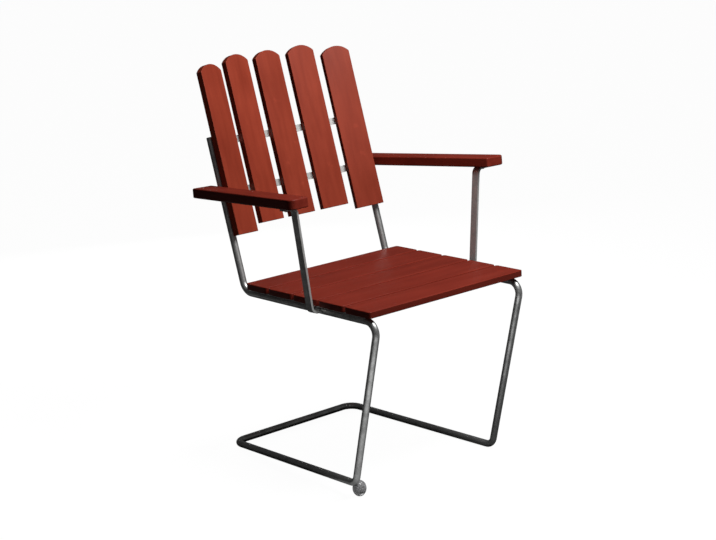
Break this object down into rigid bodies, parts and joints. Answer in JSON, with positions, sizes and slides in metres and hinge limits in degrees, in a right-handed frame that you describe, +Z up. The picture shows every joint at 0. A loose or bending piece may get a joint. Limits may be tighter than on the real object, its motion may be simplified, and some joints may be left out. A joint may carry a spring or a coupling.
{
  "type": "cantilever garden armchair",
  "caption": "Cantilever garden armchair: painted wooden seat, back and arm slats on one continuous bent round steel bar, with flat steel arm posts",
  "frame": {"origin": "Middle of the overall box on the floor plane: X and Y at the middle of the width and depth, Z = 0 on the floor.", "axes": "+X is the sitter's left, +Y points to the back of the chair, +Z is up. The sitter faces -Y."},
  "size_m": [0.6404, 0.6159, 0.9183],
  "materials": {
    "frame_steel": "dull galvanised",
    "flat_steel": "dull galvanised",
    "painted_wood": "satin red-brown paint",
    "fastener_steel": "zinc plated",
    "glide": "glossy"
  },
  "bodies": {
    "root": {"frame": "frame_steel", "seat_slat_1": "painted_wood", "seat_slat_2": "painted_wood", "seat_slat_3": "painted_wood", "seat_slat_4": "painted_wood", "seat_slat_5": "painted_wood", "seat_strip_left": "flat_steel", "seat_strip_right": "flat_steel", "back_slat_1": "painted_wood", "back_slat_2": "painted_wood", "back_slat_3": "painted_wood", "back_slat_4": "painted_wood", "back_slat_5": "painted_wood", "back_rail_upper": "flat_steel", "back_rail_lower": "flat_steel", "arm_post_left": "flat_steel", "arm_post_right": "flat_steel", "armrest_left": "painted_wood", "armrest_right": "painted_wood", "foot_glide": "glide", "seat_screws": "fastener_steel", "back_screws": "fastener_steel", "armrest_front_screws": "fastener_steel", "armrest_rear_screws": "fastener_steel"}
  },
  "joints": []
}
